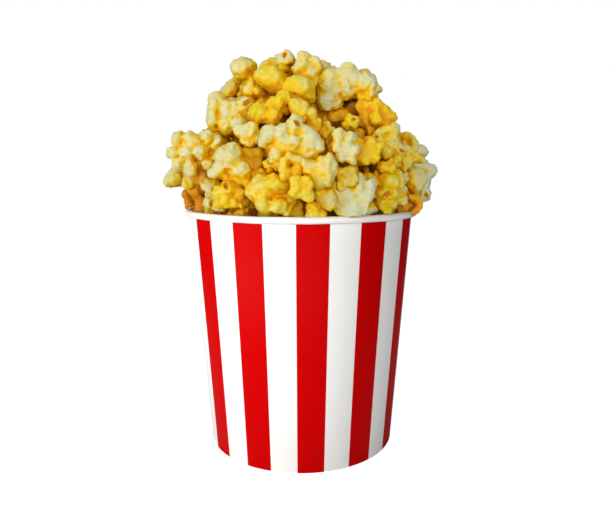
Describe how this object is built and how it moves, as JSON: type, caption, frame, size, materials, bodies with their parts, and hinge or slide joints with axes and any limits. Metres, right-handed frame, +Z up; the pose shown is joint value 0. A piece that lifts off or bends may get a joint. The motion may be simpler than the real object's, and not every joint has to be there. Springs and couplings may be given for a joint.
{
  "type": "bucket of popcorn",
  "caption": "Round tapered paperboard bucket with red and white upright stripes and a rolled rim, heaped above the rim with popped corn.",
  "frame": {"origin": "middle of the ring the bucket stands on, below the middle of the whole object's box", "axes": "+Z up along the bucket's axis; the side shown by the picture faces -Y, with +X to its right"},
  "size_m": [0.1828, 0.1848, 0.2654],
  "materials": {
    "striped_board": "satin",
    "white_board": "matte",
    "popped_corn": "matte"
  },
  "bodies": {
    "root": {"bucket_wall": "striped_board", "bucket_base": "white_board", "popcorn": "popped_corn"}
  },
  "joints": []
}
